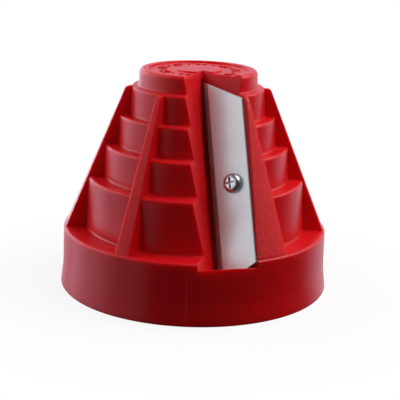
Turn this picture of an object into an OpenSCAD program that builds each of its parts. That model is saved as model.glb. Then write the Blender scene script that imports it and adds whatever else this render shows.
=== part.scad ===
// Pipe chamfering tool: a hollow stepped cone that is turned on the end of a plastic pipe.
// The origin is the centre of the foot plane, +Z is up, and the blade faces -Y.
// Azimuths are in degrees from the front (-Y), positive towards +X.

/* [Body: collar, tiers and disc] */
// Outer radius of the collar at the foot
foot_r = 67.8; // [66:0.1:74]
// Outer radius of the collar at its top edge
collar_r = 66.2; // [63:0.1:67]
// Height of the collar
collar_h = 30; // [24:0.5:36]
// Height of the flared part of the collar
flare_h = 10.5; // [6:0.5:18]
// Radius of the bend where the flare ends
flare_round = 40; // [10:1:60]
// Radius of the edge that the collar stands on
foot_edge = 0.8; // [0.3:0.1:1.5]
// Outer radius of the first tier at its top
tier1_r = 53.9; // [52:0.1:58]
// Height of the first tier
tier1_h = 25.6; // [22:0.1:29]
// Outer radius of the second tier at its top
tier2_r = 45.6; // [43:0.1:49]
// Height of the second tier
tier2_h = 16.3; // [13:0.1:19]
// Outer radius of the third tier at its top
tier3_r = 38.7; // [36:0.1:42]
// Height of the third tier
tier3_h = 14.9; // [12:0.1:18]
// Outer radius of the fourth tier at its top
tier4_r = 32.9; // [31:0.1:35]
// Height of the fourth tier
tier4_h = 13.8; // [11:0.1:17]
// Outer radius of the top disc
disc_r = 29; // [26:0.5:30.5]
// Height of the top disc
disc_h = 8.7; // [7:0.1:12]
// Draft of the collar's wall above the flare, in degrees
collar_draft = 0.8; // [0:0.1:1.5]
// Draft of the walls of the tiers and the disc, in degrees
draft = 2.5; // [0:0.1:3.5]
// Radius of the outer edge of each tier
edge_round = 1.2; // [0.4:0.1:2]
// Radius of the inner corner at the foot of each tier
foot_round = 1; // [0.4:0.1:2]
// Radius of the edge of the top disc
disc_round = 2.2; // [1:0.1:3]

/* [Top of the disc] */
// Radius of the sunk field
field_r = 24.6; // [20:0.1:26]
// Depth of the sunk field
field_depth = 0.9; // [0.4:0.1:1.5]
// Radius of the round pad in the middle
pad_r = 11.3; // [8:0.1:15]
// Height of the round pad above the field
pad_h = 0.8; // [0.3:0.1:1.4]

/* [Ribs and grained block] */
// Radius of the ribs where they stand on the collar
rib_foot_r = 65.2; // [60:0.1:70]
// Slope of the ribs' outer edge from the vertical, in degrees
rib_slope = 22.7; // [20:0.1:24]
// Radius of the ribs' upper corner
rib_corner = 2.6; // [1:0.1:6]
// Radius of the grained block's upper corner
block_corner = 4.5; // [1:0.1:6]
// Width of a rib at the top
rib_top_w = 2.6; // [1.5:0.1:5]
// Width of a rib at the collar
rib_foot_w = 7.6; // [4:0.1:12]
// Azimuth of the front rib
rib_front_az = -30.5; // [-36:0.1:-24]
// Azimuth of the left side rib
rib_left_az = -82; // [-95:0.5:-75]
// Azimuth of the right side rib
rib_right_az = 86.5; // [75:0.5:95]
// Azimuth of the right back rib
rib_back_az = 150; // [135:1:165]
// Angle between the two back ribs
rib_back_gap = 64; // [50:1:75]
// Azimuth of the right side of the grained block
block_side_az = 42.4; // [38:0.1:50]

/* [Hollow inside] */
// Thickness of the walls
wall = 4; // [2.5:0.1:5]
// Number of guide ribs inside
guide_count = 12; // [6:1:18]
// Thickness of a guide rib
guide_t = 2.6; // [1.5:0.1:4]
// Gap from the foot plane up to the guide ribs
guide_lift = 3; // [0:0.5:8]

/* [Cutting cone] */
// Half angle of the cone that the cutting edge turns on, in degrees
cut_angle = 25; // [24:0.1:26]
// Radius of that cone at the foot plane
cut_foot_r = 57.5; // [55:0.1:59]
// Azimuth of the cutting edge
cut_az = 14.7; // [12:0.1:18]
// Depth by which the edge stands into the guide cone
bite = 0.3; // [0.1:0.05:0.6]

/* [Blade] */
// Angle between the blade and the tangent plane of the cone, in degrees
blade_pitch = 46.5; // [42:0.1:50]
// Width of the blade
blade_w = 22.3; // [20:0.1:24]
// Thickness of the blade
blade_t = 3; // [2:0.1:4]
// Width of the ground bevel
bevel_w = 4.3; // [2.5:0.1:6]
// Honed flat left at the cutting edge
edge_flat = 0.1; // [0.05:0.01:0.2]
// Slant of the top end, in degrees
top_slant = 30; // [20:1:40]
// Width of the clipped lower corner
clip_w = 5.4; // [2:0.1:8]
// Height of the clipped lower corner
clip_h = 2.6; // [1:0.1:5]
// Broken edge of the outer face
blade_chamfer = 0.3; // [0.1:0.05:0.5]
// Height left between the tip of the blade and the top of the disc
tip_cover = 5.4; // [4.5:0.1:9]

/* [Notch] */
// Offset of the notch's wall from the cutting edge, at the seat
notch_gap = 1.8; // [1:0.1:3]
// Lean of the notch's wall from square to the blade, in degrees
notch_lean = 12.4; // [8:0.1:14]
// Gap between the blade's tip and the notch's wall
tip_gap = 0.25; // [0.15:0.05:0.6]
// Angle at which the wall swings away from the edge below the tip, in degrees
tip_relief = 2.4; // [1:0.1:5]
// Depth of the notch's floor below the collar's top edge
floor_drop = 2.4; // [1:0.1:5]
// Height of the blade's outer face above the shoulder behind it
proud = 0.6; // [0:0.1:1.5]
// Play around the blade in its seat
blade_play = 0.2; // [0.1:0.05:0.5]
// Width of the blade that overhangs the slot
overhang = 2.5; // [1.5:0.1:4]
// Thickness of the wall behind the seat
seat_wall = 5; // [3:0.1:7]
// Thickness of the web that closes the slot near the top
web = 7; // [4:0.1:12]

/* [Screw and insert] */
// Distance from the cutting edge to the screw
screw_in = 14.1; // [11:0.1:16]
// Distance from the blade's lower end to the screw
screw_up = 40.6; // [30:0.1:60]
// Thread diameter of the screw
screw_d = 5; // [4:0.1:6]
// Diameter of the screw's head
head_d = 9.5; // [8:0.1:11]
// Height of the screw's head
head_h = 3.7; // [2.9:0.1:4.5]
// Rounding of the head
head_round = 2.8; // [1.5:0.1:3.4]
// Diameter of the cross recess at the top of the head
recess_d = 5.3; // [3.5:0.1:6.5]
// Diameter of the cross recess at its bottom
recess_tip_d = 2.4; // [1.5:0.1:3]
// Width of the recess's slots
recess_w = 1.2; // [0.8:0.1:1.8]
// Depth of the recess
recess_h = 2.4; // [1.5:0.1:3]
// Length of the screw's pointed end
screw_tip = 1.2; // [0.5:0.1:2]
// Radial clearance of the screw in the insert
thread_play = 0.05; // [0.02:0.01:0.1]
// Radial clearance of the screw in the blade
hole_play = 0.25; // [0.15:0.05:0.6]
// Outer diameter of the insert
insert_d = 7.2; // [6.5:0.1:8.5]
// Length of the insert
insert_l = 8; // [6:0.1:10]
// Half width and depth of the groove round the insert
insert_groove = 0.5; // [0.3:0.1:0.8]
// Wall around the insert
boss_wall = 3; // [2:0.1:5]
// Depth left free behind the insert
insert_relief = 1.5; // [0.5:0.1:3]

/* [Hidden] */
$fn = 128;
red = [0.78, 0.07, 0.07];
far = 200;      // longer than any cut needs to be
skim = 1;       // how far a cut runs past the face that it opens
joined = 0.5;   // how far a rib or web runs into the wall that carries it

// Heights of the steps, counted up from the collar
z1 = collar_h + tier1_h;
z2 = z1 + tier2_h;
z3 = z2 + tier3_h;
z4 = z3 + tier4_h;
top_z = z4 + disc_h;

// Radius of the cutting cone, and of the guide cone around it, at a height
function cut_r(z) = cut_foot_r - z * tan(cut_angle);
function guide_r(z) = cut_r(z) + bite / cos(cut_angle);

// Places along the cutting edge, measured from the foot plane
slope_c = cos(cut_angle);
// the floor meets the collar's outer face floor_drop below its top edge
floor_s = ((collar_h - floor_drop) * slope_c
           - (collar_r - cut_foot_r) * sin(cut_angle));
blade_s0 = floor_s + blade_play;
blade_s1 = (top_z - tip_cover) / slope_c;
slot_s1 = blade_s1 - web;
screw_s = blade_s0 + screw_up;
shoulder_w = blade_w + blade_play;

// Corner of a polyline, rounded with radius r: points along the arc from p to n around c
function unit(v) = v / norm(v);
function corner(p, c, n, r, steps) =
    let (u = unit(p - c), v = unit(n - c),
         half = acos(u * v) / 2,
         run = r / tan(half),
         mid = c + unit(u + v) * r / sin(half),
         a = c + u * run - mid, b = c + v * run - mid,
         a0 = atan2(a[1], a[0]), turn = atan2(a[0] * b[1] - a[1] * b[0], a * b))
    [for (i = [0:steps]) mid + r * [cos(a0 + turn * i / steps), sin(a0 + turn * i / steps)]];
// A closed outline from [x, y, radius] points; a radius of 0 leaves the corner sharp
function rounded(pts, steps = 6) =
    [for (i = [0:len(pts) - 1])
        let (q = pts[i],
             p = pts[(i + len(pts) - 1) % len(pts)],
             n = pts[(i + 1) % len(pts)],
             c = [q[0], q[1]])
        each (q[2] == 0 ? [c] : corner([p[0], p[1]], c, [n[0], n[1]], q[2], steps))];

// Outer and inner step of a tier: its foot at z0, its top at z1
function tier_step(r, z0, z1, top_round) =
    [[r + (z1 - z0) * tan(draft), z0, foot_round], [r, z1, top_round]];

outer_profile = rounded(concat(
    [[0, 0, 0], [foot_r, 0, foot_edge],
     [collar_r + (collar_h - flare_h) * tan(collar_draft), flare_h, flare_round],
     [collar_r, collar_h, edge_round]],
    tier_step(tier1_r, collar_h, z1, edge_round),
    tier_step(tier2_r, z1, z2, edge_round),
    tier_step(tier3_r, z2, z3, edge_round),
    tier_step(tier4_r, z3, z4, edge_round),
    tier_step(disc_r, z4, top_z, disc_round),
    [[0, top_z, 0]]));

inner_profile = rounded(
    [[0, -skim, 0], [collar_r - wall, -skim, 0],
     [collar_r - wall, collar_h - wall, foot_round], [tier1_r - wall, collar_h - wall, edge_round],
     [tier1_r - wall, z1 - wall, foot_round], [tier2_r - wall, z1 - wall, edge_round],
     [tier2_r - wall, z2 - wall, foot_round], [tier3_r - wall, z2 - wall, edge_round],
     [tier3_r - wall, z3 - wall, foot_round], [tier4_r - wall, z3 - wall, edge_round],
     [tier4_r - wall, z4 - wall, foot_round], [0, z4 - wall, 0]], 4);

// Radius of the ribs' outer edge at a height
function rib_r(z) = rib_foot_r - (z - collar_h) * tan(rib_slope);
function rib_profile(corner_r) = rounded(
    [[tier4_r / 2, collar_h - joined, 0], [rib_r(collar_h - joined), collar_h - joined, 0],
     [rib_r(z4), z4, corner_r], [tier4_r / 2, z4, 0]], 8);

// ---------------------------------------------------------------- frames

// Turns what is drawn facing the front to an azimuth
module at_azimuth(az) { rotate([0, 0, az]) children(); }

// Frame of the blade: origin on the cutting edge at the foot plane, +X across the blade,
// -Y out of its outer face, +Z up along the cutting edge. The seat is the plane y = 0.
module blade_frame() {
    at_azimuth(cut_az)
        translate([0, -cut_foot_r, 0])
            rotate([-cut_angle, 0, 0])
                rotate([0, 0, -blade_pitch])
                    children();
}

// Frame of the screw: origin on the seat at the screw's axis, +Z out of the blade
module screw_frame() {
    blade_frame() translate([screw_in, 0, screw_s]) rotate([90, 0, 0]) children();
}

// ---------------------------------------------------------------- body

// A slice of the envelope: wide at the collar, narrow at the top
module rib(az) {
    intersection() {
        rotate_extrude() polygon(rib_profile(rib_corner));
        at_azimuth(az) rotate([90, 0, 0])
            linear_extrude(far)
                polygon([[-rib_foot_w / 2, collar_h - joined], [rib_foot_w / 2, collar_h - joined],
                         [rib_top_w / 2, z4 + joined], [-rib_top_w / 2, z4 + joined]]);
    }
}

// The grained block fills the envelope from the notch round to its own right side
module block() {
    intersection() {
        rotate_extrude() polygon(rib_profile(block_corner));
        linear_extrude(far)
            polygon([[0, 0], far * [sin(cut_az), -cos(cut_az)],
                     far * [sin(block_side_az), -cos(block_side_az)]]);
    }
}

// What lies on the blade's side of the wall's upper stretch, which closes in on the tip
module tip_side() {
    blade_frame()
        translate([-tip_gap, 0, blade_s1])
            rotate([0, tip_relief, 0])
                translate([0, -far, -far])
                    cube([far, 2 * far, 2 * far]);
}

// The open notch, above its floor, with the shoulder that backs the blade
module notch() {
    shoulder_y = proud - blade_t;
    intersection() {
        blade_frame() translate([0, 0, floor_s]) linear_extrude(far)
            polygon([[-notch_gap, 0], [shoulder_w, 0], [shoulder_w, shoulder_y],
                     [far, shoulder_y], [far, -far], [-notch_gap + far * tan(notch_lean), -far]]);
        tip_side();
    }
}

// The walls that close the notch off from the hollow
module notch_walls() {
    lean = tan(notch_lean);
    left = -notch_gap - wall / cos(notch_lean);
    right = shoulder_w + wall;
    blade_frame() translate([0, 0, floor_s - wall]) linear_extrude(far)
        polygon([[left - seat_wall * lean, seat_wall], [right, seat_wall],
                 [right, -far], [left + far * lean, -far]]);
}

// The slot beside the cutting edge, through which the shavings leave
module slot() {
    depth = 2 * seat_wall;
    intersection() {
        blade_frame() translate([0, 0, floor_s]) linear_extrude(slot_s1 - floor_s)
            polygon([[-notch_gap, 0], [overhang, 0],
                     [overhang, depth], [-notch_gap - depth * tan(notch_lean), depth]]);
        tip_side();
    }
}

// Radial plates inside, which end on the guide cone
module guide_ribs() {
    for (i = [0:guide_count - 1])
        at_azimuth(cut_az + (i + 0.5) * 360 / guide_count)
            translate([-guide_t / 2, -foot_r, guide_lift])
                cube([guide_t, foot_r, top_z]);
}

module guide_cone() {
    roof_z = top_z - wall;
    translate([0, 0, -skim])
        cylinder(r1 = guide_r(-skim), r2 = guide_r(roof_z), h = roof_z + skim);
}

module screw_boss() {
    depth = insert_l + insert_relief + boss_wall;
    screw_frame() translate([0, 0, -depth]) cylinder(d = insert_d + 2 * boss_wall, h = depth);
}

module disc_relief() {
    translate([0, 0, top_z - field_depth])
        difference() {
            cylinder(r = field_r, h = field_depth + skim);
            cylinder(r = pad_r, h = pad_h);
        }
}

module body() {
    color(red)
    difference() {
        union() {
            rotate_extrude() polygon(outer_profile);
            for (az = [rib_front_az, rib_left_az, rib_right_az,
                       rib_back_az, rib_back_az + rib_back_gap])
                rib(az);
            block();
        }
        notch();
        disc_relief();
        difference() {
            rotate_extrude() polygon(inner_profile);
            notch_walls();
            guide_ribs();
            screw_boss();
        }
        guide_cone();
        slot();
        screw_frame() translate([0, 0, -insert_l - insert_relief])
            cylinder(d = insert_d, h = insert_l + insert_relief + skim);
    }
}

// ---------------------------------------------------------------- blade, screw, insert

module blade() {
    length = blade_s1 - blade_s0;
    drop = blade_w * tan(top_slant);
    color([0.75, 0.76, 0.78])
    blade_frame()
    difference() {
        translate([0, 0, blade_s0]) rotate([90, 0, 0]) linear_extrude(blade_t)
            polygon([[0, 0], [blade_w - clip_w, 0], [blade_w, clip_h],
                     [blade_w, length - drop], [0, length]]);
        // ground bevel, down to the honed flat
        linear_extrude(far)
            polygon([[-skim, -edge_flat], [0, -edge_flat], [bevel_w, -blade_t],
                     [bevel_w, -blade_t - skim], [-skim, -blade_t - skim]]);
        // broken edges of the outer face, at the back and along the slanted end
        translate([blade_w, -blade_t, 0]) linear_extrude(far)
            polygon([[-blade_chamfer, -skim / 10], [skim, -skim / 10], [skim, blade_chamfer],
                     [0, blade_chamfer], [-blade_chamfer, 0]]);
        translate([0, -blade_t, blade_s1]) rotate([0, top_slant, 0])
            rotate([0, 90, 0]) linear_extrude(far, center = true)
                polygon([[blade_chamfer, 0], [0, blade_chamfer], [-skim, blade_chamfer],
                         [-skim, -skim / 10], [blade_chamfer, -skim / 10]]);
        translate([screw_in, skim, screw_s]) rotate([90, 0, 0])
            cylinder(r = screw_d / 2 + hole_play, h = blade_t + 2 * skim);
    }
}

module blade_screw() {
    color([0.82, 0.82, 0.8])
    screw_frame()
    difference() {
        rotate_extrude()
            polygon(rounded([[0, -insert_l, 0],
                             [screw_d / 2 - screw_tip, -insert_l, 0],
                             [screw_d / 2, screw_tip - insert_l, 0],
                             [screw_d / 2, blade_t, 0],
                             [head_d / 2, blade_t, 0],
                             [head_d / 2, blade_t + head_h, head_round],
                             [0, blade_t + head_h, 0]], 8));
        // cross recess: two slots inside a tapered hole
        translate([0, 0, blade_t + head_h - recess_h])
            intersection() {
                cylinder(d1 = recess_tip_d, d2 = recess_d, h = recess_h);
                union() {
                    translate([-head_d / 2, -recess_w / 2, 0]) cube([head_d, recess_w, head_h]);
                    translate([-recess_w / 2, -head_d / 2, 0]) cube([recess_w, head_d, head_h]);
                }
            }
    }
}

module threaded_insert() {
    color([0.8, 0.62, 0.25])
    screw_frame()
    difference() {
        translate([0, 0, -insert_l]) cylinder(d = insert_d, h = insert_l);
        translate([0, 0, -insert_l - skim])
            cylinder(r = screw_d / 2 + thread_play, h = insert_l + 2 * skim);
        // groove between the two knurled bands, which keys it in the plastic
        translate([0, 0, -insert_l / 2 - insert_groove])
            difference() {
                cylinder(d = insert_d + skim, h = 2 * insert_groove);
                cylinder(d = insert_d - 2 * insert_groove, h = 2 * insert_groove);
            }
    }
}

body();
blade();
blade_screw();
threaded_insert();
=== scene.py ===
import math

import bmesh
import bpy
from mathutils import Matrix, Vector


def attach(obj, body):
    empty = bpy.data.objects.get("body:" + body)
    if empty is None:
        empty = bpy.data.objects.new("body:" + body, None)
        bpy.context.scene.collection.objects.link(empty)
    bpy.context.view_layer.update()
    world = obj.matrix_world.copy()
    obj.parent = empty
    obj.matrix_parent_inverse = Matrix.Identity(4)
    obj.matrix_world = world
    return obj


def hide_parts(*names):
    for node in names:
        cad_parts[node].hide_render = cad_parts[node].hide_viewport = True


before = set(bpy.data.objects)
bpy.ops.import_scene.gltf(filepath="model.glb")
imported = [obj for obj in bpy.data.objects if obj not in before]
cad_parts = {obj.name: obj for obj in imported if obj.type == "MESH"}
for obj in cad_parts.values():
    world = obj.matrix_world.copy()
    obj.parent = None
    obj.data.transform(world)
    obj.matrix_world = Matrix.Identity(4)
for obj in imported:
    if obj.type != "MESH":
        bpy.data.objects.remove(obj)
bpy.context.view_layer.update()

# ---------------------------------------------------------------- camera
# A long lens, a little above the tool, with the blade towards it.
elevation = math.radians(15.46)
camera_roll = math.radians(1.68)
camera_distance = 0.55194
lens_length = 97.8048
film_width = 36.0
aim = Vector((0.0025075, 0.0, 0.042128))
ahead = Vector((0.0, math.cos(elevation), -math.sin(elevation)))
level_right = Vector((1.0, 0.0, 0.0))
level_up = Vector((0.0, math.sin(elevation), math.cos(elevation)))
view_right = math.cos(camera_roll) * level_right + math.sin(camera_roll) * level_up
view_up = -math.sin(camera_roll) * level_right + math.cos(camera_roll) * level_up

camera_data = bpy.data.cameras.new("camera")
camera_data.sensor_width = film_width
camera_data.lens = lens_length
camera_data.clip_start = 0.01
camera = bpy.data.objects.new("camera", camera_data)
turn = Matrix((view_right, view_up, -ahead)).transposed()
camera.matrix_world = Matrix.Translation(aim - ahead * camera_distance) @ turn.to_4x4()
bpy.context.scene.collection.objects.link(camera)
bpy.context.scene.camera = camera

# ---------------------------------------------------------------- studio
# A pale floor that keeps the tool's shadow, soft lamps on the left, on the right and above, and a
# white surround that the camera sees. Straight in front of the tool the room is dark.
scene = bpy.context.scene
scene.view_settings.view_transform = "Standard"
white = (1.0, 1.0, 1.0, 1.0)


def math_node(tree, operation, first, second=None):
    """The output of a Math node. An operand is a number or another node's output."""
    node = tree.nodes.new("ShaderNodeMath")
    node.operation = operation
    for socket, value in zip(node.inputs, (first, second)):
        if isinstance(value, float):
            socket.default_value = value
        elif value is not None:
            tree.links.new(value, socket)
    return node.outputs[0]


def ramp_between(tree, value, low, high, start=0.0, stop=1.0):
    """A soft ramp that goes from start to stop while a value goes from low to high."""
    node = tree.nodes.new("ShaderNodeMapRange")
    node.interpolation_type = "SMOOTHSTEP"
    node.inputs["From Min"].default_value = low
    node.inputs["From Max"].default_value = high
    node.inputs["To Min"].default_value = start
    node.inputs["To Max"].default_value = stop
    tree.links.new(value, node.inputs["Value"])
    return node.outputs[0]


def colour_between(tree, factor, first, second):
    """A mix of two colours, each of which is plain or another node's output."""
    node = tree.nodes.new("ShaderNodeMix")
    node.data_type = "RGBA"
    tree.links.new(factor, node.inputs["Factor"])
    for socket, colour in ((node.inputs["A"], first), (node.inputs["B"], second)):
        if isinstance(colour, tuple):
            socket.default_value = colour
        else:
            tree.links.new(colour, socket)
    return node.outputs["Result"]


# The floor is white to the camera away from the tool, keeps a soft shadow close to it, and is
# unlit where the tool covers it.
foot_radius = 0.0678
foot_lap = 0.003
shadow_reach = 0.17
glow_at_foot = 0.88
paper_bounce = (0.17, 0.17, 0.17, 1.0)
floor_side, floor_front, floor_back = 1.6, -0.8, 2.4
floor_mesh = bpy.data.meshes.new("studio_floor")
floor_mesh.from_pydata([(-floor_side, floor_front, 0.0), (floor_side, floor_front, 0.0),
                        (floor_side, floor_back, 0.0), (-floor_side, floor_back, 0.0)],
                       [], [(0, 1, 2, 3)])
floor = bpy.data.objects.new("studio_floor", floor_mesh)
scene.collection.objects.link(floor)
floor.visible_glossy = False
floor_look = bpy.data.materials.new("white_floor")
floor_look.use_nodes = True
nt = floor_look.node_tree
nt.nodes.clear()
out = nt.nodes.new("ShaderNodeOutputMaterial")
paper = nt.nodes.new("ShaderNodeBsdfDiffuse")
glow = nt.nodes.new("ShaderNodeEmission")
glow.inputs["Color"].default_value = white
coord = nt.nodes.new("ShaderNodeTexCoord")
away = nt.nodes.new("ShaderNodeVectorMath")
away.operation = "LENGTH"
nt.links.new(coord.outputs["Object"], away.inputs[0])
clear = ramp_between(nt, away.outputs["Value"], foot_radius, shadow_reach, glow_at_foot, 1.0)
outside = math_node(nt, "GREATER_THAN", away.outputs["Value"], foot_radius - foot_lap)
rays = nt.nodes.new("ShaderNodeLightPath")
# The camera sees white paper with the tool's shadow on it. What the paper throws back is dim.
nt.links.new(colour_between(nt, rays.outputs["Is Camera Ray"], paper_bounce, white), paper.inputs["Color"])
seen_outside = math_node(nt, "MULTIPLY", rays.outputs["Is Camera Ray"], outside)
mix = nt.nodes.new("ShaderNodeMixShader")
nt.links.new(math_node(nt, "MULTIPLY", seen_outside, clear), mix.inputs[0])
nt.links.new(paper.outputs[0], mix.inputs[1])
nt.links.new(glow.outputs[0], mix.inputs[2])
nt.links.new(mix.outputs[0], out.inputs[0])
floor_mesh.materials.append(floor_look)

# What shows through the slot beside the blade: the floor inside the foot, a disc that glows dim red,
# painted light standing in for light through the plastic
covered_radius = foot_radius - 0.006
covered_lift = 0.0003
painted_glow_colour = (0.055, 0.002, 0.002, 1.0)
covered = bmesh.new()
bmesh.ops.create_circle(covered, cap_ends=True, segments=96, radius=covered_radius)
bmesh.ops.translate(covered, verts=covered.verts, vec=(0.0, 0.0, covered_lift))
covered_mesh = bpy.data.meshes.new("covered_floor")
covered.to_mesh(covered_mesh)
covered.free()
covered_floor = bpy.data.objects.new("covered_floor", covered_mesh)
scene.collection.objects.link(covered_floor)
painted_red_glow = bpy.data.materials.new("painted_red_glow")
painted_red_glow.use_nodes = True
nt = painted_red_glow.node_tree
nt.nodes.clear()
out = nt.nodes.new("ShaderNodeOutputMaterial")
# The disc emits its dim red itself: painted light, not lit by the lamps.
glow = nt.nodes.new("ShaderNodeEmission")
glow.inputs["Color"].default_value = painted_glow_colour
nt.links.new(glow.outputs[0], out.inputs[0])
covered_mesh.materials.append(painted_red_glow)

# The room: white where the camera looks, nearly unlit for the tool itself
ambient_light = 0.03
ambient_colour = (0.90, 0.94, 1.0, 1.0)
backdrop_edge = (0.2, 0.9)
backdrop_light = (0.03, 0.75)
backdrop_colour = (0.95, 0.85, 1.0, 1.0)
room = bpy.data.worlds.new("room")
scene.world = room
room.use_nodes = True
nt = room.node_tree
nt.nodes.clear()
out = nt.nodes.new("ShaderNodeOutputWorld")
rays = nt.nodes.new("ShaderNodeLightPath")
seen = math_node(nt, "MAXIMUM", rays.outputs["Is Camera Ray"], rays.outputs["Is Transmission Ray"])
surround = nt.nodes.new("ShaderNodeBackground")
surround.inputs["Color"].default_value = white
surround.inputs["Strength"].default_value = 1.0
ambient = nt.nodes.new("ShaderNodeBackground")
ambient.inputs["Color"].default_value = ambient_colour
ambient.inputs["Strength"].default_value = ambient_light
# Gloss mirrors a pale backdrop behind the tool and the dim room in front of it.
where = nt.nodes.new("ShaderNodeTexCoord")
split = nt.nodes.new("ShaderNodeSeparateXYZ")
nt.links.new(where.outputs["Generated"], split.inputs[0])
backdrop = ramp_between(nt, split.outputs["Y"], *backdrop_edge, *backdrop_light)
mirrored = nt.nodes.new("ShaderNodeBackground")
mirrored.inputs["Color"].default_value = backdrop_colour
nt.links.new(backdrop, mirrored.inputs["Strength"])
mix_gloss = nt.nodes.new("ShaderNodeMixShader")
nt.links.new(rays.outputs["Is Glossy Ray"], mix_gloss.inputs[0])
nt.links.new(ambient.outputs[0], mix_gloss.inputs[1])
nt.links.new(mirrored.outputs[0], mix_gloss.inputs[2])
mix_seen = nt.nodes.new("ShaderNodeMixShader")
nt.links.new(seen, mix_seen.inputs[0])
nt.links.new(mix_gloss.outputs[0], mix_seen.inputs[1])
nt.links.new(surround.outputs[0], mix_seen.inputs[2])
nt.links.new(mix_seen.outputs[0], out.inputs[0])

# Lamps stand round the middle of the tool. A level of 1 lights a white face squarely to full white.
lamp_distance = 0.85
lamp_middle = Vector((0.0, 0.0, 0.05))
cool_white = (0.97, 0.96, 1.0)
plain_white = (0.96, 0.95, 1.0)
lilac_white = (0.93, 0.84, 1.0)
deep_lilac = (0.93, 0.80, 1.0)


def soft_lamp(name, azimuth, height_angle, width, height, level, colour, lit_only=None):
    """A soft lamp that faces the tool. Azimuths are in degrees from the front, positive to the right."""
    turned, raised = math.radians(azimuth), math.radians(height_angle)
    outward = Vector((math.sin(turned) * math.cos(raised), -math.cos(turned) * math.cos(raised),
                      math.sin(raised)))
    lamp_data = bpy.data.lights.new(name, "AREA")
    lamp_data.shape = "RECTANGLE"
    lamp_data.size = width
    lamp_data.size_y = height
    lamp_data.energy = level * math.pi ** 2 * lamp_distance ** 2
    lamp_data.color = colour
    lamp = bpy.data.objects.new(name, lamp_data)
    lamp.visible_camera = False
    lamp.location = lamp_middle + outward * lamp_distance
    lamp.rotation_euler = (-outward).to_track_quat("-Z", "Y").to_euler()
    scene.collection.objects.link(lamp)
    if lit_only:
        lamp.light_linking.receiver_collection = lit_only


soft_lamp("lamp_right_high", 76.0, 56.0, 0.50, 0.46, 0.44, cool_white)
soft_lamp("lamp_right", 108.0, 34.0, 0.50, 0.46, 0.28, cool_white)
soft_lamp("lamp_above", 90.0, 74.0, 0.60, 0.46, 0.19, cool_white)
soft_lamp("lamp_left_high", -108.0, 44.0, 0.50, 0.46, 0.12, cool_white)
soft_lamp("lamp_left", -114.0, 16.0, 0.80, 0.55, 0.44, lilac_white)
soft_lamp("lamp_left_low", -100.0, -15.0, 0.80, 0.46, 0.24, deep_lilac)
soft_lamp("lamp_left_front", -74.0, 18.0, 0.34, 0.60, 0.085, plain_white)
soft_lamp("lamp_left_behind", -155.0, 2.0, 0.50, 0.60, 0.18, lilac_white)
soft_lamp("lamp_left_front_low", -56.0, -15.0, 0.60, 0.46, 0.10, lilac_white)
soft_lamp("lamp_right_behind", 134.0, -8.0, 0.50, 0.60, 0.055, lilac_white)

# ---------------------------------------------------------------- body
# One moulding of glossy red plastic: collar, four tiers, closed top, ribs, and a grained block
# behind the blade. It stands on the open foot of its collar.
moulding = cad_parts["body"]
collar_height = 0.030
rib_top = 0.1006
rib_foot_radius = 0.0652
rib_slope = math.radians(22.7)
block_side = math.radians(42.4)
block_notch_side = math.radians(10.0)
mould_lines = (math.radians(-37.6), math.radians(-2.0))
red_deep = (0.78, 0.006, 0.011, 1.0)
red_bright = (0.82, 0.008, 0.013, 1.0)
# Painted light: the grained face is a lighter red, for the light its grain catches.
red_lit_grain = (1.0, 0.024, 0.026, 1.0)
gloss_roughness = 0.34
scuff_roughness = 0.40
grain_roughness = 0.25
scuff_share = (0.50, 0.75)
grain_light_ramp = (0.36, 0.54, 0.1, 1.0)
# Where the grained face and the mould lines fade in or out
face_depth = (0.0004, 0.0012)
face_right = (block_side - 0.012, block_side - 0.004)
face_left = (block_notch_side, block_notch_side + 0.010)
face_foot = (0.0300, 0.0310)
face_head = (rib_top - 0.006, rib_top - 0.003)
line_width = (0.0008, 0.0030)
line_radius = (0.063, 0.065)
line_head = (0.0225, 0.0235)

# Gives where a point lies round the cone: its azimuth, its distance from the axis and its height.
round_place = bpy.data.node_groups.new("place_round_the_cone", "ShaderNodeTree")
for name in ("Azimuth", "Radius", "Height"):
    round_place.interface.new_socket(name, in_out="OUTPUT", socket_type="NodeSocketFloat")
coord = round_place.nodes.new("ShaderNodeTexCoord")
split = round_place.nodes.new("ShaderNodeSeparateXYZ")
round_place.links.new(coord.outputs["Object"], split.inputs[0])
azimuth = math_node(round_place, "ARCTAN2", split.outputs["X"],
                    math_node(round_place, "MULTIPLY", split.outputs["Y"], -1.0))
flat = round_place.nodes.new("ShaderNodeCombineXYZ")
round_place.links.new(split.outputs["X"], flat.inputs["X"])
round_place.links.new(split.outputs["Y"], flat.inputs["Y"])
radius = round_place.nodes.new("ShaderNodeVectorMath")
radius.operation = "LENGTH"
round_place.links.new(flat.outputs[0], radius.inputs[0])
end = round_place.nodes.new("NodeGroupOutput")
round_place.links.new(azimuth, end.inputs["Azimuth"])
round_place.links.new(radius.outputs["Value"], end.inputs["Radius"])
round_place.links.new(split.outputs["Z"], end.inputs["Height"])

# Gives the skin of a moulding: faint flow mottling, orange peel and fine scuffs.
moulded_skin = bpy.data.node_groups.new("moulded_skin", "ShaderNodeTree")
for name, value in (("Peel Size", 0.0016), ("Scuffs", 0.3)):
    socket = moulded_skin.interface.new_socket(name, in_out="INPUT", socket_type="NodeSocketFloat")
    socket.default_value = value
for name in ("Mottle", "Gloss Loss", "Relief"):
    moulded_skin.interface.new_socket(name, in_out="OUTPUT", socket_type="NodeSocketFloat")
start = moulded_skin.nodes.new("NodeGroupInput")
coord = moulded_skin.nodes.new("ShaderNodeTexCoord")
mottle = moulded_skin.nodes.new("ShaderNodeTexNoise")
mottle.inputs["Scale"].default_value = 45.0
mottle.inputs["Detail"].default_value = 3.0
moulded_skin.links.new(coord.outputs["Object"], mottle.inputs["Vector"])
peel = moulded_skin.nodes.new("ShaderNodeTexNoise")
peel.inputs["Detail"].default_value = 2.0
moulded_skin.links.new(coord.outputs["Object"], peel.inputs["Vector"])
moulded_skin.links.new(math_node(moulded_skin, "DIVIDE", 1.0, start.outputs["Peel Size"]),
                       peel.inputs["Scale"])
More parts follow.
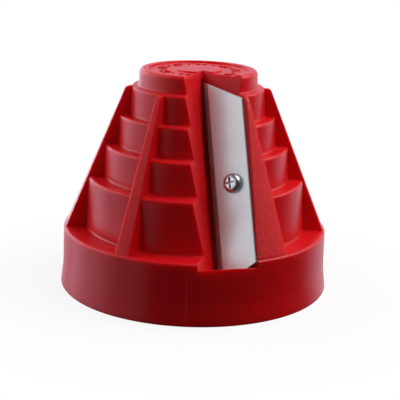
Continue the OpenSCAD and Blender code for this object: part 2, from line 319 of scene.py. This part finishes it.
scuff = moulded_skin.nodes.new("ShaderNodeTexNoise")
scuff.inputs["Scale"].default_value = 900.0
scuff.inputs["Detail"].default_value = 6.0
moulded_skin.links.new(coord.outputs["Object"], scuff.inputs["Vector"])
scuffed = math_node(moulded_skin, "MULTIPLY", start.outputs["Scuffs"],
                    ramp_between(moulded_skin, scuff.outputs[0], *scuff_share))
end = moulded_skin.nodes.new("NodeGroupOutput")
moulded_skin.links.new(mottle.outputs[0], end.inputs["Mottle"])
moulded_skin.links.new(scuffed, end.inputs["Gloss Loss"])
moulded_skin.links.new(peel.outputs[0], end.inputs["Relief"])

red_plastic = bpy.data.materials.new("red_moulded_plastic")
red_plastic.use_nodes = True
nt = red_plastic.node_tree
nt.nodes.clear()
out = nt.nodes.new("ShaderNodeOutputMaterial")
shader = nt.nodes.new("ShaderNodeBsdfPrincipled")
shader.inputs["IOR"].default_value = 1.49
shader.inputs["Specular IOR Level"].default_value = 0.37
shader.inputs["Subsurface Weight"].default_value = 1.0
shader.inputs["Subsurface Radius"].default_value = (1.0, 0.06, 0.06)
shader.inputs["Subsurface Scale"].default_value = 0.004
nt.links.new(shader.outputs[0], out.inputs[0])
place = nt.nodes.new("ShaderNodeGroup")
place.node_tree = round_place
skin = nt.nodes.new("ShaderNodeGroup")
skin.node_tree = moulded_skin
skin.inputs["Peel Size"].default_value = 0.0018
skin.inputs["Scuffs"].default_value = 0.02
# The grained face is the outer face of the block, between the notch and its right side.
envelope = math_node(nt, "SUBTRACT", rib_foot_radius,
                     math_node(nt, "MULTIPLY", math.tan(rib_slope),
                               math_node(nt, "SUBTRACT", place.outputs["Height"], collar_height)))
depth_under = math_node(nt, "SUBTRACT", envelope, place.outputs["Radius"])
grained = ramp_between(nt, depth_under, *face_depth, 1.0, 0.0)
for bound in (ramp_between(nt, place.outputs["Azimuth"], *face_right, 1.0, 0.0),
              ramp_between(nt, place.outputs["Azimuth"], *face_left),
              ramp_between(nt, place.outputs["Height"], *face_foot),
              ramp_between(nt, place.outputs["Height"], *face_head, 1.0, 0.0)):
    grained = math_node(nt, "MULTIPLY", grained, bound)
coord = nt.nodes.new("ShaderNodeTexCoord")
grain = nt.nodes.new("ShaderNodeTexNoise")
grain.inputs["Scale"].default_value = 1100.0
grain.inputs["Detail"].default_value = 4.0
grain.inputs["Roughness"].default_value = 0.65
nt.links.new(coord.outputs["Object"], grain.inputs["Vector"])
# Mould lines run up the collar.
line_ridges = []
for line_at in mould_lines:
    aside = math_node(nt, "ABSOLUTE", math_node(nt, "SUBTRACT", place.outputs["Azimuth"], line_at))
    line_ridges.append(ramp_between(nt, aside, *line_width, 1.0, 0.0))
lines = math_node(nt, "MAXIMUM", *line_ridges)
lines = math_node(nt, "MULTIPLY", lines, ramp_between(nt, place.outputs["Radius"], *line_radius))
lines = math_node(nt, "MULTIPLY", lines,
                  ramp_between(nt, place.outputs["Height"], *line_head, 1.0, 0.0))
red = colour_between(nt, skin.outputs["Mottle"], red_deep, red_bright)
# The grained face is painted lighter in patches that follow the grain: painted light and shade for what
# the grain catches.
painted_grain_light = math_node(nt, "MULTIPLY", grained, ramp_between(nt, grain.outputs[0], *grain_light_ramp))
nt.links.new(colour_between(nt, painted_grain_light, red, red_lit_grain), shader.inputs["Base Color"])
dullness = math_node(nt, "ADD", gloss_roughness,
                     math_node(nt, "MULTIPLY", skin.outputs["Gloss Loss"], scuff_roughness))
dullness = math_node(nt, "ADD", dullness, math_node(nt, "MULTIPLY", grained, grain_roughness))
nt.links.new(dullness, shader.inputs["Roughness"])
soft_edge = nt.nodes.new("ShaderNodeBevel")
soft_edge.samples = 8
soft_edge.inputs["Radius"].default_value = 0.0007
peel_bump = nt.nodes.new("ShaderNodeBump")
peel_bump.inputs["Strength"].default_value = 0.03
peel_bump.inputs["Distance"].default_value = 0.00006
nt.links.new(soft_edge.outputs[0], peel_bump.inputs["Normal"])
nt.links.new(skin.outputs["Relief"], peel_bump.inputs["Height"])
grain_bump = nt.nodes.new("ShaderNodeBump")
grain_bump.inputs["Distance"].default_value = 0.00045
nt.links.new(math_node(nt, "MULTIPLY", grain.outputs[0], grained), grain_bump.inputs["Height"])
nt.links.new(peel_bump.outputs[0], grain_bump.inputs["Normal"])
line_bump = nt.nodes.new("ShaderNodeBump")
line_bump.inputs["Distance"].default_value = 0.00015
nt.links.new(lines, line_bump.inputs["Height"])
nt.links.new(grain_bump.outputs[0], line_bump.inputs["Normal"])
nt.links.new(line_bump.outputs[0], shader.inputs["Normal"])
moulding.data.materials.clear()
moulding.data.materials.append(red_plastic)

# Raised in the sunk field of the top: pipe sizes round the pad, with a dot between each two
field_floor = 0.1084
marks_radius = 0.0180
number_height = 0.0042
height_of_type = 0.72
mark_lift = 0.0006
mark_sink = 0.0002
dot_radius = 0.0006
dot_taper = 0.8
pipe_sizes = ("20", "25", "32", "40", "50", "63", "75", "90")
first_mark = math.radians(158.0)
mark_step = math.radians(-40.5)
marks = bmesh.new()
for k, pipe_size in enumerate(pipe_sizes):
    text = bpy.data.curves.new("pipe_size", "FONT")
    text.body = pipe_size
    text.size = number_height / height_of_type
    text.align_x, text.align_y = "CENTER", "CENTER"
    text.extrude = (mark_lift + mark_sink) / 2
    text.resolution_u = 3
    text_object = bpy.data.objects.new("pipe_size", text)
    scene.collection.objects.link(text_object)
    text_mesh = bpy.data.meshes.new_from_object(
        text_object.evaluated_get(bpy.context.evaluated_depsgraph_get()))
    bpy.data.objects.remove(text_object)
    spin = Matrix.Rotation(first_mark + mark_step * k, 4, "Z")
    text_middle = field_floor + (mark_lift - mark_sink) / 2
    text_mesh.transform(spin @ Matrix.Translation((0.0, marks_radius, text_middle)))
    marks.from_mesh(text_mesh)
    bpy.data.meshes.remove(text_mesh)
    if k:
        between = Matrix.Rotation(first_mark + mark_step * (k - 0.5), 4, "Z")
        dot_middle = Matrix.Translation((0.0, marks_radius, field_floor + mark_lift / 2))
        bmesh.ops.create_cone(marks, cap_ends=True, segments=16, radius1=dot_radius,
                              radius2=dot_radius * dot_taper, depth=mark_lift, matrix=between @ dot_middle)
marks_mesh = bpy.data.meshes.new("pipe_size_marks")
marks.to_mesh(marks_mesh)
marks.free()
marks_mesh.materials.append(red_plastic)
pipe_size_marks = bpy.data.objects.new("pipe_size_marks", marks_mesh)
scene.collection.objects.link(pipe_size_marks)
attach(pipe_size_marks, "housing")

# ---------------------------------------------------------------- blade
# A flat ground cutter of tool steel, with one long bevel. It lies on its seat in the notch and is
# held by one screw.
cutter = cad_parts["blade"]
edge_foot = Vector((0.014591, -0.055618, 0.0))
across_blade = Vector((0.832647, -0.461218, 0.306556))
up_edge = Vector((-0.107243, 0.408785, 0.906308))
out_of_face = Vector((-0.543322, -0.787510, 0.290911))
bevel_width = 0.0043
bevel_fade = 0.0001
streak_stretch = 0.04
face_metallic = 0.55
face_roughness = (0.40, 0.50)
bevel_polish = 0.15

ground_steel = bpy.data.materials.new("ground_blade_steel")
ground_steel.use_nodes = True
nt = ground_steel.node_tree
nt.nodes.clear()
out = nt.nodes.new("ShaderNodeOutputMaterial")
shader = nt.nodes.new("ShaderNodeBsdfPrincipled")
nt.links.new(shader.outputs[0], out.inputs[0])
coord = nt.nodes.new("ShaderNodeTexCoord")
to_blade = nt.nodes.new("ShaderNodeVectorMath")
to_blade.operation = "SUBTRACT"
to_blade.inputs[1].default_value = edge_foot
nt.links.new(coord.outputs["Object"], to_blade.inputs[0])
along = []
for direction in (across_blade, out_of_face, up_edge):
    dot = nt.nodes.new("ShaderNodeVectorMath")
    dot.operation = "DOT_PRODUCT"
    dot.inputs[1].default_value = direction
    nt.links.new(to_blade.outputs[0], dot.inputs[0])
    along.append(dot.outputs["Value"])
blade_place = nt.nodes.new("ShaderNodeCombineXYZ")
nt.links.new(along[0], blade_place.inputs["X"])
nt.links.new(along[1], blade_place.inputs["Y"])
nt.links.new(math_node(nt, "MULTIPLY", along[2], streak_stretch), blade_place.inputs["Z"])
streaks = nt.nodes.new("ShaderNodeTexNoise")
streaks.inputs["Scale"].default_value = 2600.0
streaks.inputs["Detail"].default_value = 4.0
nt.links.new(blade_place.outputs[0], streaks.inputs["Vector"])
cloud = nt.nodes.new("ShaderNodeTexNoise")
cloud.inputs["Scale"].default_value = 90.0
cloud.inputs["Detail"].default_value = 3.0
nt.links.new(coord.outputs["Object"], cloud.inputs["Vector"])
# The steel's grey is tinted faintly cyan, painted to offset the red light the plastic throws on it. The
# cloud gives it an uneven tone.
nt.links.new(colour_between(nt, cloud.outputs[0], (0.60, 0.63, 0.65, 1.0), (0.68, 0.71, 0.73, 1.0)),
             shader.inputs["Base Color"])
# The bevel is ground finer than the face.
on_bevel = ramp_between(nt, along[0], bevel_width - bevel_fade, bevel_width + bevel_fade, 1.0, 0.0)
polish = math_node(nt, "MULTIPLY", on_bevel, bevel_polish)
nt.links.new(math_node(nt, "ADD", face_metallic, polish), shader.inputs["Metallic"])
rough_face = ramp_between(nt, streaks.outputs[0], 0.3, 0.7, *face_roughness)
nt.links.new(math_node(nt, "SUBTRACT", rough_face, polish), shader.inputs["Roughness"])
soft_edge = nt.nodes.new("ShaderNodeBevel")
soft_edge.samples = 4
soft_edge.inputs["Radius"].default_value = 0.00015
streak_bump = nt.nodes.new("ShaderNodeBump")
streak_bump.inputs["Strength"].default_value = 0.35
streak_bump.inputs["Distance"].default_value = 0.00002
nt.links.new(soft_edge.outputs[0], streak_bump.inputs["Normal"])
nt.links.new(streaks.outputs[0], streak_bump.inputs["Height"])
nt.links.new(streak_bump.outputs[0], shader.inputs["Normal"])
cutter.data.materials.clear()
cutter.data.materials.append(ground_steel)

# ---------------------------------------------------------------- screw
# M5 pan-head machine screw with a cross recess, cold-formed, thread rolled, bright zinc plated.
# It passes through the blade and turns in the brass insert.
seat_point = Vector((0.0196676, -0.0367203, 0.0606380))
screw_stand = (Matrix.Translation(seat_point)
               @ Matrix((across_blade, up_edge, out_of_face)).transposed().to_4x4())
blade_thickness = 0.003
edge_break = 0.0001
head_radius = 0.00475
head_height = 0.0037
head_round = 0.0028
head_sides = 72
head_steps = 12
shank_radius = 0.0025
shank_below_seat = 0.008
shank_in_head = 0.0004
shank_point = 0.0012
shank_sides = 48
shank_steps = 200
thread_root = 0.00208
thread_pitch = 0.0008
thread_run_out = 0.0008
thread_band = 0.00015
recess_depth = 0.0024
recess_reach = (0.0012, 0.00265)
recess_width = 0.0012
punch_height = 1.4
crease_angle = math.radians(32.0)


def place_mesh(name, mesh, stand, material, body, slot, *nodes):
    """Adds a mesh as a piece that rides a body and takes the place of its plain solid."""
    mesh.transform(stand)
    mesh.shade_smooth()
    mesh.set_sharp_from_angle(angle=crease_angle)
    mesh.materials.clear()
    mesh.materials.append(material)
    piece = bpy.data.objects.new(name, mesh)
    scene.collection.objects.link(piece)
    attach(piece, body)
    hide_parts(*nodes)
    return piece


def turned_shell(profile, sides, closed):
    """A ring of faces for each step of a profile of (radius, height) points, closed on itself or not."""
    shell = bmesh.new()
    rings = []
    for radius, height in profile:
        if radius == 0.0:
            rings.append([shell.verts.new((0.0, 0.0, height))] * sides)
        else:
            rings.append([shell.verts.new((radius * math.cos(math.tau * k / sides),
                                           radius * math.sin(math.tau * k / sides), height))
                          for k in range(sides)])
    pairs = list(zip(rings, rings[1:]))
    if closed:
        pairs.append((rings[-1], rings[0]))
    for low, high in pairs:
        for k in range(sides):
            corners = [low[k], low[(k + 1) % sides], high[(k + 1) % sides], high[k]]
            shell.faces.new([v for i, v in enumerate(corners) if v not in corners[:i]])
    bmesh.ops.recalc_face_normals(shell, faces=shell.faces)
    return shell


bright_zinc = bpy.data.materials.new("bright_zinc")
bright_zinc.use_nodes = True
nt = bright_zinc.node_tree
nt.nodes.clear()
out = nt.nodes.new("ShaderNodeOutputMaterial")
shader = nt.nodes.new("ShaderNodeBsdfPrincipled")
shader.inputs["Metallic"].default_value = 1.0
nt.links.new(shader.outputs[0], out.inputs[0])
coord = nt.nodes.new("ShaderNodeTexCoord")
plating = nt.nodes.new("ShaderNodeTexNoise")
plating.inputs["Scale"].default_value = 900.0
plating.inputs["Detail"].default_value = 3.0
nt.links.new(coord.outputs["Object"], plating.inputs["Vector"])
nt.links.new(colour_between(nt, plating.outputs[0], (0.46, 0.46, 0.47, 1.0), (0.58, 0.58, 0.59, 1.0)),
             shader.inputs["Base Color"])
nt.links.new(ramp_between(nt, plating.outputs[0], 0.3, 0.7, 0.26, 0.38), shader.inputs["Roughness"])
plating_bump = nt.nodes.new("ShaderNodeBump")
plating_bump.inputs["Strength"].default_value = 0.2
plating_bump.inputs["Distance"].default_value = 0.00003
nt.links.new(plating.outputs[0], plating_bump.inputs["Height"])
nt.links.new(plating_bump.outputs[0], shader.inputs["Normal"])

# Geometry nodes roll a helical thread, or press a diamond knurl, into a turned shell. Points
# within "Reach" of the radius "Crest" sink towards "Root", between two heights.
cut_tree = bpy.data.node_groups.new("thread_or_knurl", "GeometryNodeTree")
cut_tree.interface.new_socket("Shell", in_out="INPUT", socket_type="NodeSocketGeometry")
for name, value in (("Crest", 0.0025), ("Root", 0.0021), ("Reach", 0.0002), ("Pitch", 0.0008),
                    ("Starts", 1.0), ("Knurl", 0.0), ("Low End", -0.008), ("High End", 0.002),
                    ("Run Out", 0.0006)):
    socket = cut_tree.interface.new_socket(name, in_out="INPUT", socket_type="NodeSocketFloat")
    socket.default_value = value
cut_tree.interface.new_socket("Material", in_out="INPUT", socket_type="NodeSocketMaterial")
cut_tree.interface.new_socket("Shell", in_out="OUTPUT", socket_type="NodeSocketGeometry")
start = cut_tree.nodes.new("NodeGroupInput")
end = cut_tree.nodes.new("NodeGroupOutput")
where = cut_tree.nodes.new("GeometryNodeInputPosition")
split = cut_tree.nodes.new("ShaderNodeSeparateXYZ")
cut_tree.links.new(where.outputs[0], split.inputs[0])
angle = math_node(cut_tree, "DIVIDE",
                  math_node(cut_tree, "ARCTAN2", split.outputs["Y"], split.outputs["X"]), math.tau)
angle = math_node(cut_tree, "MULTIPLY", angle, start.outputs["Starts"])
flat = cut_tree.nodes.new("ShaderNodeCombineXYZ")
cut_tree.links.new(split.outputs["X"], flat.inputs["X"])
cut_tree.links.new(split.outputs["Y"], flat.inputs["Y"])
radius = cut_tree.nodes.new("ShaderNodeVectorMath")
radius.operation = "LENGTH"
cut_tree.links.new(flat.outputs[0], radius.inputs[0])
steps = math_node(cut_tree, "DIVIDE", split.outputs["Z"], start.outputs["Pitch"])
ridge_flank = (0.12, 0.88)
least_radius = 0.00001


def ridge_height(turns):
    """A ridge with a flat crest and a flat root for each whole turn."""
    saw = math_node(cut_tree, "FRACT", turns)
    wave = math_node(cut_tree, "ABSOLUTE", math_node(cut_tree, "SUBTRACT",
                                                     math_node(cut_tree, "MULTIPLY", saw, 2.0), 1.0))
    return ramp_between(cut_tree, wave, *ridge_flank)


right_hand = ridge_height(math_node(cut_tree, "SUBTRACT", steps, angle))
left_hand = ridge_height(math_node(cut_tree, "ADD", steps, angle))
crossed = math_node(cut_tree, "MINIMUM", right_hand, left_hand)
chosen = cut_tree.nodes.new("ShaderNodeMix")
cut_tree.links.new(start.outputs["Knurl"], chosen.inputs["Factor"])
cut_tree.links.new(right_hand, chosen.inputs["A"])
cut_tree.links.new(crossed, chosen.inputs["B"])
sunk = math_node(cut_tree, "SUBTRACT", 1.0, chosen.outputs["Result"])
for gap in (math_node(cut_tree, "SUBTRACT", split.outputs["Z"], start.outputs["Low End"]),
            math_node(cut_tree, "SUBTRACT", start.outputs["High End"], split.outputs["Z"])):
    share = math_node(cut_tree, "DIVIDE", gap, start.outputs["Run Out"])
    sunk = math_node(cut_tree, "MULTIPLY", sunk, ramp_between(cut_tree, share, 0.0, 1.0))
off = math_node(cut_tree, "ABSOLUTE",
                math_node(cut_tree, "SUBTRACT", radius.outputs["Value"], start.outputs["Crest"]))
near = math_node(cut_tree, "LESS_THAN", off, start.outputs["Reach"])
sunk = math_node(cut_tree, "MULTIPLY", sunk, near)
new_radius = math_node(cut_tree, "ADD", radius.outputs["Value"],
                       math_node(cut_tree, "MULTIPLY", sunk,
                                 math_node(cut_tree, "SUBTRACT", start.outputs["Root"],
                                           start.outputs["Crest"])))
grow = math_node(cut_tree, "DIVIDE", new_radius,
                 math_node(cut_tree, "MAXIMUM", radius.outputs["Value"], least_radius))
moved = cut_tree.nodes.new("ShaderNodeCombineXYZ")
cut_tree.links.new(math_node(cut_tree, "MULTIPLY", split.outputs["X"], grow), moved.inputs["X"])
cut_tree.links.new(math_node(cut_tree, "MULTIPLY", split.outputs["Y"], grow), moved.inputs["Y"])
cut_tree.links.new(split.outputs["Z"], moved.inputs["Z"])
shift = cut_tree.nodes.new("GeometryNodeSetPosition")
cut_tree.links.new(start.outputs["Shell"], shift.inputs["Geometry"])
cut_tree.links.new(moved.outputs[0], shift.inputs["Position"])
real = cut_tree.nodes.new("GeometryNodeRealizeInstances")
cut_tree.links.new(shift.outputs[0], real.inputs[0])
dress = cut_tree.nodes.new("GeometryNodeSetMaterial")
cut_tree.links.new(real.outputs[0], dress.inputs["Geometry"])
cut_tree.links.new(start.outputs["Material"], dress.inputs["Material"])
cut_tree.links.new(dress.outputs[0], end.inputs[0])


def evaluated_mesh(mesh, name, tree, **values):
    """The plain mesh that a geometry-nodes tree makes of a mesh."""
    holder = bpy.data.objects.new(name, mesh)
    scene.collection.objects.link(holder)
    modifier = holder.modifiers.new("nodes", "NODES")
    modifier.node_group = tree
    for socket in tree.interface.items_tree:
        if socket.in_out == "INPUT" and socket.name in values:
            modifier[socket.identifier] = values[socket.name]
    evaluated = holder.evaluated_get(bpy.context.evaluated_depsgraph_get())
    result = bpy.data.meshes.new_from_object(evaluated)
    result.name = name
    bpy.data.objects.remove(holder)
    return result


shank_profile = [(0.0, -shank_below_seat), (shank_radius - shank_point, -shank_below_seat),
                 (shank_radius - edge_break, -shank_below_seat + shank_point)]
shank_low = -shank_below_seat + shank_point + edge_break
shank_high = blade_thickness + shank_in_head
for step in range(shank_steps + 1):
    shank_profile.append((shank_radius, shank_low + (shank_high - shank_low) * step / shank_steps))
shank_profile.append((0.0, shank_high))
shank_shell = turned_shell(shank_profile, shank_sides, False)
shank_mesh = bpy.data.meshes.new("shank")
shank_shell.to_mesh(shank_mesh)
shank_shell.free()
shank_mesh = evaluated_mesh(shank_mesh, "threaded_shank", cut_tree, Crest=shank_radius, Root=thread_root,
                            Reach=thread_band, Pitch=thread_pitch, Starts=1.0, Knurl=0.0,
                            Material=bright_zinc,
                            **{"Low End": -shank_below_seat, "High End": blade_thickness - thread_run_out,
                               "Run Out": thread_run_out})

head_profile = [(0.0, blade_thickness), (head_radius - edge_break, blade_thickness),
                (head_radius, blade_thickness + edge_break)]
for step in range(head_steps + 1):
    lean = math.radians(90.0 * step / head_steps)
    head_profile.append((head_radius - head_round + head_round * math.cos(lean),
                         blade_thickness + head_height - head_round + head_round * math.sin(lean)))
head_profile.append((0.0, blade_thickness + head_height))
head_shell = turned_shell(head_profile, head_sides, False)
head_mesh = bpy.data.meshes.new("head")
head_shell.to_mesh(head_mesh)
head_shell.free()

# The punch of the cross recess widens from the recess's floor to well above the head.
cross = bmesh.new()
rings = []
for level in (0.0, punch_height):
    reach = recess_reach[0] + (recess_reach[1] - recess_reach[0]) * level
    height = blade_thickness + head_height - recess_depth * (1.0 - level)
    ring = []
    for arm in range(4):
        turned = math.radians(90.0 * arm)
        half = recess_width / 2.0
        for out_by, aside in ((half, -half), (reach - edge_break, -half), (reach, -half / 2),
                              (reach, half / 2), (reach - edge_break, half)):
            ring.append(cross.verts.new((out_by * math.cos(turned) - aside * math.sin(turned),
                                         out_by * math.sin(turned) + aside * math.cos(turned), height)))
    rings.append(ring)
cross.faces.new(reversed(rings[0]))
cross.faces.new(rings[1])
for k in range(len(rings[0])):
    after = (k + 1) % len(rings[0])
    cross.faces.new((rings[0][k], rings[0][after], rings[1][after], rings[1][k]))
bmesh.ops.recalc_face_normals(cross, faces=cross.faces)
cross_mesh = bpy.data.meshes.new("cross")
cross.to_mesh(cross_mesh)
cross.free()
head_object = bpy.data.objects.new("head", head_mesh)
cross_object = bpy.data.objects.new("cross", cross_mesh)
scene.collection.objects.link(head_object)
scene.collection.objects.link(cross_object)
cut = head_object.modifiers.new("recess", "BOOLEAN")
cut.operation = "DIFFERENCE"
cut.solver = "EXACT"
cut.object = cross_object
head_cut = bpy.data.meshes.new_from_object(
    head_object.evaluated_get(bpy.context.evaluated_depsgraph_get()))
bpy.data.objects.remove(head_object)
bpy.data.objects.remove(cross_object)
whole = bmesh.new()
whole.from_mesh(head_cut)
whole.from_mesh(shank_mesh)
screw_mesh = bpy.data.meshes.new("machine_screw")
whole.to_mesh(screw_mesh)
whole.free()
machine_screw = place_mesh("machine_screw", screw_mesh, screw_stand, bright_zinc,
                           "screw", "screw_steel", "blade_screw")

# A white card in front of the cutter lights the steel alone.
steel = bpy.data.collections.new("steel")
steel.objects.link(cutter)
steel.objects.link(machine_screw)
card_white = (0.97, 0.98, 1.0)
soft_lamp("card_for_the_steel", -44.0, 20.0, 0.85, 0.85, 0.38, card_white, steel)

# ---------------------------------------------------------------- insert
# Turned brass insert, pressed hot into the moulding behind the blade. It has two knurled bands with
# a groove between them, and an M5 thread, which is left out here because nothing shows it.
insert_radius = 0.0036
insert_length = 0.008
groove_depth = 0.0005
groove_half = 0.0005
end_chamfer = 0.0003
bore_radius = shank_radius + 0.00005
knurl_depth = 0.00022
knurl_pitch = 0.0012
knurl_starts = 16.0
knurl_run_out = 0.0006
knurl_band = 0.0001
insert_sides = 96
levels = 64

brass = bpy.data.materials.new("insert_brass")
brass.use_nodes = True
nt = brass.node_tree
nt.nodes.clear()
out = nt.nodes.new("ShaderNodeOutputMaterial")
shader = nt.nodes.new("ShaderNodeBsdfPrincipled")
shader.inputs["Metallic"].default_value = 1.0
nt.links.new(shader.outputs[0], out.inputs[0])
coord = nt.nodes.new("ShaderNodeTexCoord")
tarnish = nt.nodes.new("ShaderNodeTexNoise")
tarnish.inputs["Scale"].default_value = 700.0
nt.links.new(coord.outputs["Object"], tarnish.inputs["Vector"])
nt.links.new(colour_between(nt, tarnish.outputs[0], (0.62, 0.42, 0.14, 1.0), (0.76, 0.55, 0.22, 1.0)),
             shader.inputs["Base Color"])
nt.links.new(ramp_between(nt, tarnish.outputs[0], 0.3, 0.7, 0.25, 0.38), shader.inputs["Roughness"])

insert_profile = []
for step in range(levels + 1):
    height = -insert_length + end_chamfer + (insert_length - 2 * end_chamfer) * step / levels
    in_groove = abs(height + insert_length / 2) < groove_half
    insert_profile.append((insert_radius - (groove_depth if in_groove else 0.0), height))
insert_profile.append((insert_radius - end_chamfer, 0.0))
for step in range(levels + 1):
    insert_profile.append((bore_radius, -insert_length * step / levels))
insert_profile.append((insert_radius - end_chamfer, -insert_length))
insert_shell = turned_shell(insert_profile, insert_sides, True)
insert_mesh = bpy.data.meshes.new("insert")
insert_shell.to_mesh(insert_mesh)
insert_shell.free()
insert_mesh = evaluated_mesh(insert_mesh, "knurled_insert", cut_tree, Crest=insert_radius,
                             Root=insert_radius - knurl_depth, Reach=knurl_band, Pitch=knurl_pitch,
                             Starts=knurl_starts, Knurl=1.0, Material=brass,
                             **{"Low End": -insert_length, "High End": 0.0, "Run Out": knurl_run_out})
place_mesh("knurled_insert", insert_mesh, screw_stand, brass, "housing", "insert_brass", "threaded_insert")
